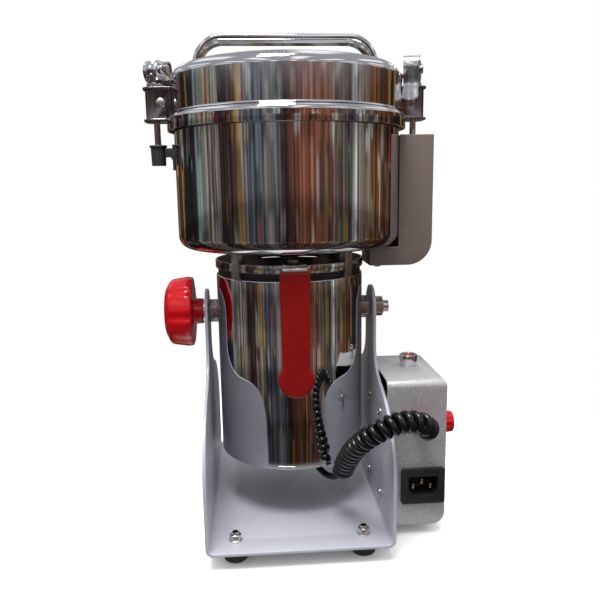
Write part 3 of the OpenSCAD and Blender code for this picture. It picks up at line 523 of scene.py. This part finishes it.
# Goods on the racks, picked at random for each one
GOODS = [
    (0.0, (0.02, 0.02, 0.025)), (0.34, (0.20, 0.085, 0.05)), (0.45, (0.015, 0.012, 0.012)),
    (0.55, (0.28, 0.25, 0.21)), (0.64, (0.09, 0.10, 0.13)), (0.73, (0.38, 0.22, 0.03)),
    (0.79, (0.45, 0.45, 0.45)), (0.85, (0.30, 0.02, 0.03)), (0.90, (0.05, 0.13, 0.06)),
    (0.94, (0.03, 0.022, 0.02)),
]
# Brightness of the racks by height, from the shaded floor up
SHELVES = [(0.0, 0.3), (0.30, 0.5), (0.36, 0.85), (0.41, 0.6), (0.455, 1.15), (0.515, 0.7), (0.545, 1.1)]
# Soft light of the studio by height, from straight down (0) to straight up (1)
DOME = [(0.0, 0.05), (0.47, 0.09), (0.56, 0.30), (0.70, 0.75), (1.0, 1.9)]
WHITE = (1, 1, 1, 1)


def rack_colours(w, x, y, z, height):
    """Tall strips in BANDS' colours, with goods on some of them."""
    turn = w.calc("ARCTAN2", x, w.calc("MULTIPLY", y, -1.0))
    part = w.calc("ADD", w.calc("DIVIDE", turn, 2 * math.pi), 0.5)
    strips = w.ramp(part, BANDS, "LINEAR")
    fine = w.add("ShaderNodeTexNoise", {
        "W": part, "Scale": 130.0, "Detail": 3.0, "Roughness": 0.75,
    }, noise_dimensions="1D").outputs["Fac"]
    streak = w.spread(fine, 0.3, 1.7, 0.38, 0.62)
    shelf = w.calc("MULTIPLY", w.calc("FLOOR", w.calc("MULTIPLY", z, 9.0)), 3.7)
    spot = w.add("ShaderNodeCombineXYZ", {
        0: w.calc("ADD", w.calc("MULTIPLY", part, 75.0), shelf), 1: w.calc("MULTIPLY", z, 7.0),
    }).outputs[0]
    cells = w.add("ShaderNodeTexVoronoi", {"Vector": spot, "Scale": 1.0}, distance="CHEBYCHEV")
    pick = w.add("ShaderNodeSeparateColor", {0: cells.outputs["Color"]})
    goods = w.ramp(pick.outputs[0], GOODS, "CONSTANT")
    some = w.calc("MULTIPLY", w.calc("GREATER_THAN", pick.outputs[1], 0.5), 0.6)
    stock = w.add("ShaderNodeVectorMath", {0: w.mix(some, strips, goods), "Scale": streak}, operation="SCALE")
    level = w.ramp(height, SHELVES, "CONSTANT")
    return w.add("ShaderNodeVectorMath", {0: stock.outputs[0], 1: level}, operation="MULTIPLY").outputs[0]


def ceiling_colours(w, x, y, z):
    """Grey ceiling with rows of soft lamps."""
    up = w.calc("MAXIMUM", z, 0.05)
    along = w.calc("PINGPONG", w.calc("ADD", w.calc("DIVIDE", x, up), 0.25), 0.5)
    across = w.calc("PINGPONG", w.calc("ADD", w.calc("DIVIDE", y, up), 0.4), 0.9)
    rows = w.spread(along, 0.0, 1.0, 0.24, 0.44, "SMOOTHSTEP")
    tubes = w.spread(across, 0.0, 1.0, 0.24, 0.44, "SMOOTHSTEP")
    return w.mix(w.calc("MULTIPLY", rows, tubes), rgba(0.40, 0.41, 0.43), rgba(1.25, 1.26, 1.3))


def make_world():
    """White studio for the camera. Mirrors see racks all round it and a ceiling with lamps."""
    world = bpy.data.worlds.new("studio")
    scene.world = world
    world.use_nodes = True
    world.node_tree.nodes.clear()
    w = Tree(world.node_tree)
    way = w.add("ShaderNodeSeparateXYZ", {0: w.add("ShaderNodeTexCoord").outputs["Generated"]})
    x, y, z = way.outputs
    height = w.calc("ADD", w.calc("MULTIPLY", z, 0.5), 0.5)
    overhead = w.spread(z, 0.0, 1.0, 0.17, 0.34, "SMOOTHSTEP")
    mirrored = w.mix(overhead, rack_colours(w, x, y, z, height), ceiling_colours(w, x, y, z))
    path = w.add("ShaderNodeLightPath")
    studio = w.mix(path.outputs["Is Camera Ray"], w.ramp(height, DOME, "LINEAR"), WHITE)
    seen = w.mix(path.outputs["Is Glossy Ray"], studio, mirrored)
    back = w.add("ShaderNodeBackground", {"Color": seen, "Strength": 1.0})
    w.add("ShaderNodeOutputWorld", {0: back.outputs[0]})


def make_floor():
    """Pale table top that fades out round the machine, sooner in mirrors, and lights it little."""
    bm = bmesh.new()
    bmesh.ops.create_grid(bm, x_segments=2, y_segments=2, size=6.0)
    floor = from_bmesh("floor", bm)
    n = Nodes("floor_paint")
    n.set("Base Color", n.mix(n.spread(n.noise(3.0), 0, 1), rgba(0.93, 0.93, 0.93), rgba(0.95, 0.95, 0.95)))
    n.set("Roughness", 0.8)
    n.set("Emission Color", WHITE)
    n.set("Emission Strength", 0.07)
    far = n.add("ShaderNodeVectorMath", {0: n.place}, operation="LENGTH").outputs["Value"]
    path = n.add("ShaderNodeLightPath").outputs
    mirrored = n.calc("MULTIPLY", n.spread(far, 0.0, 1.0, 0.10, 0.17), path["Is Glossy Ray"])
    seen = n.calc("MULTIPLY", n.spread(far, 0.0, 1.0, 0.22, 0.42), path["Is Camera Ray"])
    unlit = n.calc("MULTIPLY", path["Is Diffuse Ray"], 0.75)
    lost = n.calc("MAXIMUM", n.calc("MAXIMUM", mirrored, seen), unlit)
    clear = n.add("ShaderNodeBsdfTransparent").outputs[0]
    shown = n.add("ShaderNodeMixShader", {0: lost, 1: n.shader.outputs[0], 2: clear}).outputs[0]
    n.join(n.tree.nodes["Material Output"], 0, shown)
    floor.data.materials.append(n.material)


make_camera()
make_world()
make_floor()
soft_light("key", (-0.2, -0.5, 1.6), (0, 0, 0.2), (0.5, 0.5), 22.0)
soft_light("fill", (1.2, -1.0, 1.1), (0, 0, 0.2), (0.25, 0.8), 1.5, mirrored=False)
soft_light("top", (0.05, 0.0, 1.7), (0, 0, 0.2), (0.5, 0.5), 12.0, mirrored=False)

# ---------------------------------------------------------------- turned sheet metal


def make_housing():
    """Motor tube with a rolled foot and a turned-in shoulder."""
    r = HOUSING_R
    z0, z1 = HOUSING_Z
    w = WALL
    outline = fillet(
        [(r, z0), (r, z1), (r - 3 * w, z1), (r - 3 * w, z1 - w), (r - w, z1 - w),
         (r - w, z0 + 0.2 * MM), (r - 2 * w, z0 + 0.2 * MM), (r - 2 * w, z0)],
        [0.45 * MM, 1.1 * MM, 0, 0, 0, 0, 0, 0.3 * MM])
    place(lathe("housing_tube", outline, 224), "head", "polished_steel", "motor_housing")
    seam_z = z0 + 2.4 * MM
    bead = fillet(
        [(r - 0.3 * MM, seam_z - 0.5 * MM), (r + 0.22 * MM, seam_z - 0.5 * MM),
         (r + 0.22 * MM, seam_z + 0.5 * MM), (r - 0.3 * MM, seam_z + 0.5 * MM)],
        [0, 0.25 * MM, 0.25 * MM, 0], 4)
    place(lathe("housing_bead", bead, 192), "head", "polished_steel")


def make_bowl():
    """Spun bowl: flat floor, round corner, straight wall and a flat lip."""
    r = BOWL_R
    z0 = BOWL_FLOOR_Z
    corner = 10 * MM
    floor_t = 2.5 * MM
    hole = 14 * MM
    lip = 2.9 * MM
    outline = fillet(
        [(hole, z0), (r, z0), (r, SEAM_Z - lip), (LIP_R, SEAM_Z - lip), (LIP_R, SEAM_Z),
         (r - WALL, SEAM_Z), (r - WALL, z0 + floor_t), (hole, z0 + floor_t)],
        [0, corner, 0.8 * MM, 0.6 * MM, 0.5 * MM, 0.6 * MM, corner - WALL, 0], 12)
    place(lathe("bowl_spun", outline, 224), "head", "polished_steel", "grinding_bowl")


def make_lid():
    """Spun lid: skirt over the lip, round flange, straight wall, round shoulder, low dome."""
    r = BOWL_R + 0.5 * MM
    top = LID_TOP
    dome = 4 * MM
    shoulder = top - dome
    flange = SEAM_Z + 6.4 * MM
    w = WALL
    skirt_in = SKIRT_R - 1.3 * MM
    outline = fillet(
        [(skirt_in, SKIRT_Z), (SKIRT_R, SKIRT_Z), (SKIRT_R, flange), (r, flange),
         (r, shoulder), (r - 16 * MM, shoulder + 1.0 * MM), (r - 19 * MM, shoulder + 2.8 * MM),
         (r * 0.35, top - 0.35 * MM), (0, top),
         (0, top - w), (r * 0.35, top - w - 0.4 * MM), (r - 20 * MM, shoulder + 2.4 * MM - w),
         (r - w, shoulder - w), (r - w, SEAM_Z + w), (skirt_in, SEAM_Z + w)],
        [0.3 * MM, 0.5 * MM, 4.6 * MM, 1.6 * MM, 9 * MM, 5 * MM, 4 * MM, 20 * MM, 0,
         0, 20 * MM, 4 * MM, 8 * MM, 0, 0.3 * MM], 12)
    place(lathe("lid_spun", outline, 224), "lid", "polished_steel", "lid_shell")


def make_band():
    """Ring of polished sheet round the neck, with a web inside it painted black as painted shade for the
    neck's shaded inside.
    """
    r = high("neck_band").y
    z1 = high("neck_band").z
    ring_h = 6.5 * MM
    ring_t = 1.4 * MM
    z0 = z1 - ring_h
    ring = fillet(
        [(r - ring_t, z0), (r, z0), (r, z1), (r - ring_t, z1)],
        [0.3 * MM, 0.4 * MM, 0.45 * MM, 0.3 * MM], 5)
    place(lathe("band_ring", ring, 192), "head", "polished_steel", "neck_band")
    # The web is painted black: painted shade for the dark inside of the neck under the bowl.
    hole, web_r = 26 * MM, r - 1.3 * MM
    under, over = z1 - 1.9 * MM, z1 - 0.3 * MM
    web = fillet(
        [(hole, under), (web_r, under), (web_r, over), (hole, over)],
        [0.3 * MM, 0, 0, 0.3 * MM], 3)
    place(lathe("band_shade_web", web, 160), "head", "black_paint")


make_housing()
make_bowl()
make_lid()
make_band()

# ---------------------------------------------------------------- lid handle


def make_lid_handle():
    """Strap of flattened tube, bent at both ends, standing on the lid's shoulder."""
    lo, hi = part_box("lid_handle")
    thick, wide = 7 * MM, hi.y - lo.y
    x = hi.x - thick / 2
    top = hi.z - thick / 2
    foot = LID_TOP - 11.5 * MM
    corner = 20 * MM
    line = [(-x, foot), (-x, top), (x, top), (x, foot)]
    bent = fillet(line, [0, corner, corner, 0], 20)
    path = []
    for a, b in zip(bent, bent[1:]):
        steps = max(1, int((b - a).length / (4 * MM)))
        path += [a.lerp(b, k / steps) for k in range(steps)]
    path.append(bent[-1])
    points = [Vector((p[0], 0, p[1])) for p in path]
    sides = 40
    section = []
    for k in range(sides):
        a = 2 * math.pi * k / sides
        c, s = math.cos(a), math.sin(a)
        section.append((
            math.copysign(abs(c) ** 0.75, c) * wide / 2, math.copysign(abs(s) ** 0.55, s) * thick / 2))
    bm = bmesh.new()
    rings = []
    across = Vector((0, 1, 0))
    for i, p in enumerate(points):
        out = tangent(points, i).cross(across)
        rings.append([bm.verts.new(p + across * a + out * b) for a, b in section])
    skin(bm, rings)
    place(from_bmesh("lid_handle_strap", bm, 50), "lid", "polished_steel", "lid_handle")


make_lid_handle()

# ---------------------------------------------------------------- clamp knob and grip


def make_knob():
    """Moulded clamp knob: a tapered cap with shallow finger flats and a round hub."""
    lo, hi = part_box("clamp_knob")
    r = (hi.z - lo.z) / 2
    length = hi.x - lo.x
    hub_r = 11 * MM
    hub = length - 22.5 * MM
    cap = [
        (0, 0), (hub_r - 0.6 * MM, 0), (hub_r, hub), (r * 0.7, hub - 1.0 * MM), (r * 0.985, hub),
        (r, hub + 4.5 * MM), (r * 0.93, length - 4.5 * MM), (r * 0.62, length), (r * 0.3, length - 1.2 * MM),
        (0, length - 1.5 * MM),
    ]
    radii = [0, 0.8 * MM, 0.8 * MM, 1.0 * MM, 1.4 * MM, 3.0 * MM, 5.0 * MM, 6 * MM, 4 * MM, 0]
    lobes = 8

    def shape(a, radius, z):
        if radius < r * 0.55 or z < hub - 2 * MM:
            return radius, z
        edge = (radius / r - 0.55) / 0.45
        return radius - 1.5 * MM * edge * max(0.0, math.cos(lobes * a)) ** 2, z

    to_left = Matrix.Translation((hi.x, 0, PIVOT_Z)) @ Matrix.Rotation(math.radians(-90), 4, "Y")
    knob = lathe("knob_cap", fillet(cap, radii, 6), 240, to_left, shape, 40)
    place(knob, "knob", "red_plastic", "clamp_knob")


def make_grip():
    """Dipped PVC sleeve on the strap: a long slab with a round end and soft edges."""
    lo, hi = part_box("handle_grip")
    end_r = (hi.x - lo.x) / 2
    half = end_r - 2 * MM
    end_z = lo.z + end_r
    waist = half - 1 * MM
    neck = math.acos(waist / end_r)
    waist_z = end_z + end_r * math.sin(neck) + 3 * MM
    outline = [Vector((-half, hi.z)), Vector((-waist, waist_z))]
    steps = 44
    for k in range(steps + 1):
        a = math.pi - neck + (math.pi + 2 * neck) * k / steps
        outline.append(Vector((end_r * math.cos(a), end_z + end_r * math.sin(a))))
    outline += [Vector((waist, waist_z)), Vector((half, hi.z))]
    outline = fillet(
        [tuple(p) for p in outline],
        [2.2 * MM, 2.0 * MM] + [0] * (steps + 1) + [2.0 * MM, 2.2 * MM], 5)
    depth = (hi.y - lo.y) / 2
    mid_y = (hi.y + lo.y) / 2
    bm = bmesh.new()
    profile = [(0.0, 2.4), (0.18, 1.3), (0.6, 0.5), (1.3, 0.1), (2.4, 0.0)]
    slices = [(-depth + y * MM, inset * MM) for y, inset in profile]
    slices += [(depth - y * MM, inset * MM) for y, inset in reversed(profile)]
    count = len(outline)
    normals = []
    for i in range(count):
        t = (outline[(i + 1) % count] - outline[i - 1]).normalized()
        normals.append(Vector((t.y, -t.x)))
    if sum(n.dot(p - Vector((0, end_z))) for n, p in zip(normals, outline)) > 0:
        normals = [-n for n in normals]
    rings = []
    for y, inset in slices:
        rings.append([
            bm.verts.new((p.x + n.x * inset, mid_y + y, p.y + n.y * inset))
            for p, n in zip(outline, normals)
        ])
    skin(bm, rings)
    place(from_bmesh("grip_sleeve", bm, 50), "head", "red_pvc", "handle_grip")


make_knob()
make_grip()

# ---------------------------------------------------------------- latches

# A lever's outlines as (y, z) in millimetres from its pin, which lies along X
THUMB_LINE = [(-13.2, 6.7), (-16.4, 5.4), (-18.4, 0.5), (-17.9, -6), (-17.2, -12), (-17.9, -19)]
EAR_R = 8.5
EAR_DROP = 1.5
EAR_ARM = [(-11, 5.6), (-14.8, 5.2), (-16.6, 1.5), (-16.3, -5), (-15.6, -9), (-12.5, -9.2), (-7, -7.6)]
# Place along the pin and inset of each loop of an ear's edge
EAR_EDGE = [(3.1, 0.5), (3.45, 0.0), (5.2, 0.0), (5.55, 0.18), (5.7, 0.6)]


def thumb_plate(bm, drop):
    """Curved plate in front of the pin, with a slightly dished face and round bottom corners."""
    curve = catmull([(0, y * MM, z * MM) for y, z in THUMB_LINE] + [(0, -18.6 * MM, -drop)], 6)
    count, across, thick = len(curve), 12, 1.7 * MM
    rows = []
    for i, p in enumerate(curve):
        t = i / (count - 1)
        half = (6.45 - 0.7 * math.sin(math.pi * t)) * MM
        if t > 0.9:
            half -= 1.6 * MM * ((t - 0.9) / 0.1) ** 2
        inward = tangent(curve, i).cross(Vector((1, 0, 0)))
        outer, inner = [], []
        for k in range(across + 1):
            s = 2 * k / across - 1
            base = p + Vector((s * half, 0.5 * MM * s * s, 0))
            outer.append(bm.verts.new(base))
            inner.append(bm.verts.new(base + inward * thick))
        rows.append((outer, inner))
    for (o1, i1), (o2, i2) in zip(rows, rows[1:]):
        for k in range(across):
            bm.faces.new((o1[k], o1[k + 1], o2[k + 1], o2[k]))
            bm.faces.new((i1[k + 1], i1[k], i2[k], i2[k + 1]))
        bm.faces.new((o1[0], o2[0], i2[0], i1[0]))
        bm.faces.new((o2[-1], o1[-1], i1[-1], i2[-1]))
    for outer, inner in (rows[0], rows[-1]):
        for k in range(across):
            bm.faces.new((outer[k], inner[k], inner[k + 1], outer[k + 1]))


def ear_arc(first, last, step):
    """Points on an ear's round edge, as (y, z) in millimetres from the pin."""
    turns = [math.radians(a) for a in range(first, last, step)]
    return [(EAR_R * math.cos(a), EAR_R * math.sin(a) - EAR_DROP) for a in turns]


def ear(bm, s):
    """Round ear on one side of the rod, with an arm out to the plate and a soft edge."""
    outline = ear_arc(-75, 136, 7) + EAR_ARM + ear_arc(232, 284, 10)
    centre = Vector((0, -2 * MM, -EAR_DROP * MM))
    loops = []
    for x, inset in EAR_EDGE:
        loop = []
        for y, z in outline:
            inward = (centre - Vector((0, y * MM, z * MM))).normalized()
            loop.append(bm.verts.new(Vector((s * x * MM, y * MM, z * MM)) + inward * inset * MM))
        loops.append(loop)
    skin(bm, loops)


def make_lever(side, body):
    """Cam lever pressed from sheet: two round ears on the pin and a curved thumb plate."""
    node = ("right" if side > 0 else "left") + "_lever"
    bm = bmesh.new()
    thumb_plate(bm, PIN_Z - low(node).z)
    ear(bm, -1)
    ear(bm, 1)
    bm.transform(latch_place(side))
    place(from_bmesh(node + "_pressed", bm, 42), body, "chromed", node)


def latch_place(side):
    """From a latch's own axes, with the pin along X, to its place on the lid."""
    turn = Matrix.Rotation(LATCH_TURN, 4, "Z")
    round_lid = Matrix.Rotation(0 if side > 0 else math.pi, 4, "Z")
    return round_lid @ Matrix.Translation((LATCH_X, 0, PIN_Z)) @ turn


def make_leaf(side):
    """Bracket leaf that flares from the lid's wall out to the latch block."""
    bm = bmesh.new()
    r = BOWL_R + 0.55 * MM
    z0, z1 = SEAM_Z + 8 * MM, LID_TOP - 9 * MM
    nearest, fan = 7.6, 17       # degrees round the lid, from the latch
    flare = 3.4 * MM
    steps, across = 24, 12
    rows = []
    for i in range(steps + 1):
        t = i / steps
        z = z0 + (z1 - z0) * t
        narrow = 1 - 0.55 * t ** 3
        rows.append([])
        for k in range(across + 1):
            s = k / across
            angle = math.radians(nearest + (fan * narrow) * (1 - s))
            out = r + flare * s ** 2.2 * (0.75 + 0.25 * math.cos(2 * math.pi * (t - 0.15)))
            rows[-1].append(Vector((out * math.cos(angle), -out * math.sin(angle), z)))
    front = [[bm.verts.new(p) for p in row] for row in rows]
    back = [[bm.verts.new(p + Vector((-0.3 * MM, 1.0 * MM, 0))) for p in row] for row in rows]
    for grid, flip in ((front, False), (back, True)):
        for a, b in zip(grid, grid[1:]):
            for k in range(across):
                face = (a[k], a[k + 1], b[k + 1], b[k])
                bm.faces.new(tuple(reversed(face)) if flip else face)
    border = [(0, k) for k in range(across)] + [(i, across) for i in range(steps)]
    border += [(steps, k) for k in range(across, 0, -1)] + [(i, 0) for i in range(steps, 0, -1)]
    for a, b in zip(border, border[1:] + border[:1]):
        bm.faces.new((front[a[0]][a[1]], front[b[0]][b[1]], back[b[0]][b[1]], back[a[0]][a[1]]))
    bm.transform(Matrix.Rotation(0 if side > 0 else math.pi, 4, "Z"))
    place(from_bmesh("latch_leaf_" + ("right" if side > 0 else "left"), bm, 40), "lid", "chromed")


make_lever(1, "right_lever_body")
make_lever(-1, "left_lever_body")
make_leaf(1)
make_leaf(-1)

# ---------------------------------------------------------------- curly cord

# The cord's middle line, the same points as in the CAD model, in millimetres.
CORD_ROUTE = [
    (97, -75, 95), (97, -85, 97), (95, -94, 101), (90, -101, 107), (82, -105, 111), (73, -107, 112),
    (64, -108, 110), (56, -107, 106), (49, -103, 100), (44, -97, 93), (41, -89, 85), (39, -80, 76),
    (37, -71, 66), (35, -63, 56), (32, -54, 48), (27, -44, 44), (22, -34, 44), (18, -27, 48),
    (18, -26, 51.9),
]
STRAND = 5.3 * MM        # the cord's own diameter
CURL = 17 * MM           # outer diameter of the curls


def make_cord():
    """Strand wound into curls along the middle line, straight at both ends."""
    line = catmull([tuple(c * MM for c in p) for p in CORD_ROUTE], 24)
    basis = frames_along(line)
    along = [0.0]
    for a, b in zip(line, line[1:]):
        along.append(along[-1] + (b - a).length)
    total = along[-1]
    straight = 7 * MM        # before the first curl
    tail = 44 * MM           # after the last curl
    ramp = 9 * MM            # over which a curl opens and closes
    step = 0.45 * MM
    curled_step = step * 0.62
    tight, loose = 5.9 * MM, 12 * MM
    opening = 45 * MM        # over which the pitch goes from loose to tight
    last_pitch, closing = 9 * MM, 14 * MM
    turned = 0.0
    path = []
    s, i = 0.0, 0
    while s < total:
        while i < len(along) - 2 and along[i + 1] < s:
            i += 1
        t = (s - along[i]) / (along[i + 1] - along[i])
        centre = line[i].lerp(line[i + 1], t)
        u, v = basis[i]
        u2, v2 = basis[i + 1]
        u, v = u.lerp(u2, t).normalized(), v.lerp(v2, t).normalized()
        inner = min(s - straight, total - tail - s)
        grow = min(1.0, max(0.0, inner / ramp))
        grow = grow * grow * (3 - 2 * grow)
        radius = (CURL - STRAND) / 2 * grow
        path.append(centre + u * (radius * math.cos(turned)) + v * (radius * math.sin(turned)))
        pitch = tight
        if s < opening:
            pitch = loose - (loose - tight) * (s / opening) ** 2
        if s > total - tail - closing:
            pitch = last_pitch
        ds = step if grow < 0.05 else curled_step
        if grow > 0:
            turned += 2 * math.pi * ds / pitch
        s += ds
    path.append(line[-1])
    cord = tube("curly_cord", path, STRAND / 2, 12, 60)
    paint(cord, "cord")
    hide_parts("coiled_cord")
    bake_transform(cord)


make_cord()

# ---------------------------------------------------------------- threads, screws and small parts


def make_threads():
    """Thread ends that show beyond their nuts."""
    start = Vector((high("pivot_nut").x - 0.5 * MM, 0, PIVOT_Z))
    end = Vector((high("pivot_bolt").x, 0, PIVOT_Z))
    thread("pivot_thread", start, end, 5.05 * MM, 1.5 * MM, "head", "zinc")
    lo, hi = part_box("foot_bolts")
    washer_r = 5 * MM
    shown = Vector((0, 0, 2.4 * MM))
    corners = [(x, y) for y in (lo.y + washer_r, hi.y - washer_r) for x in (lo.x + washer_r, hi.x - washer_r)]
    for i, (x, y) in enumerate(corners):
        top = Vector((x, y, hi.z))
        thread(f"foot_thread_{i}", top - shown, top, 2.55 * MM, 0.8 * MM, "stand", "zinc")


make_threads()

# CAD nodes shown with their edges rounded: width in millimetres and steps
REFINED = {
    "stand_frame": (0.55, 3), "rubber_feet": (0.5, 2), "foot_bolts": (0.25, 2), "control_box": (0.9, 4),
    "box_screws": (0.12, 2), "power_inlet": (0.35, 3), "inlet_pins": (0.35, 2), "cord_gland": (0.3, 2),
    "reset_bezel": (0.35, 3), "reset_button": (0.25, 2), "timer_knob": (0.3, 2), "knob_stud": (0.2, 2),
    "motor_top_plate": (0.5, 2), "support_posts": (0.5, 3), "handle_strap": (0.3, 2),
    "handle_screw": (0.12, 2), "trunnion_bosses": (0.4, 2), "pivot_nut": (0.35, 2),
    "latch_cup": (0.4, 3), "interlock_cover": (0.9, 4), "cover_screws": (0.1, 2),
    "latch_blocks": (0.35, 3), "latch_screws": (0.1, 2), "left_rod": (0.2, 2), "right_rod": (0.2, 2),
    "left_pin": (0.4, 3), "right_pin": (0.4, 3), "blade_nut": (0.3, 2), "motor_end_cover": (0.3, 2),
    "motor_grommet": (0.4, 2),
}
for node, (width, steps) in REFINED.items():
    refined(node, width, steps)

for name, obj in frame["nodes"].items():
    if not obj.hide_render:
        paint(obj, NODE_SLOT[name])
        smooth(obj.data)
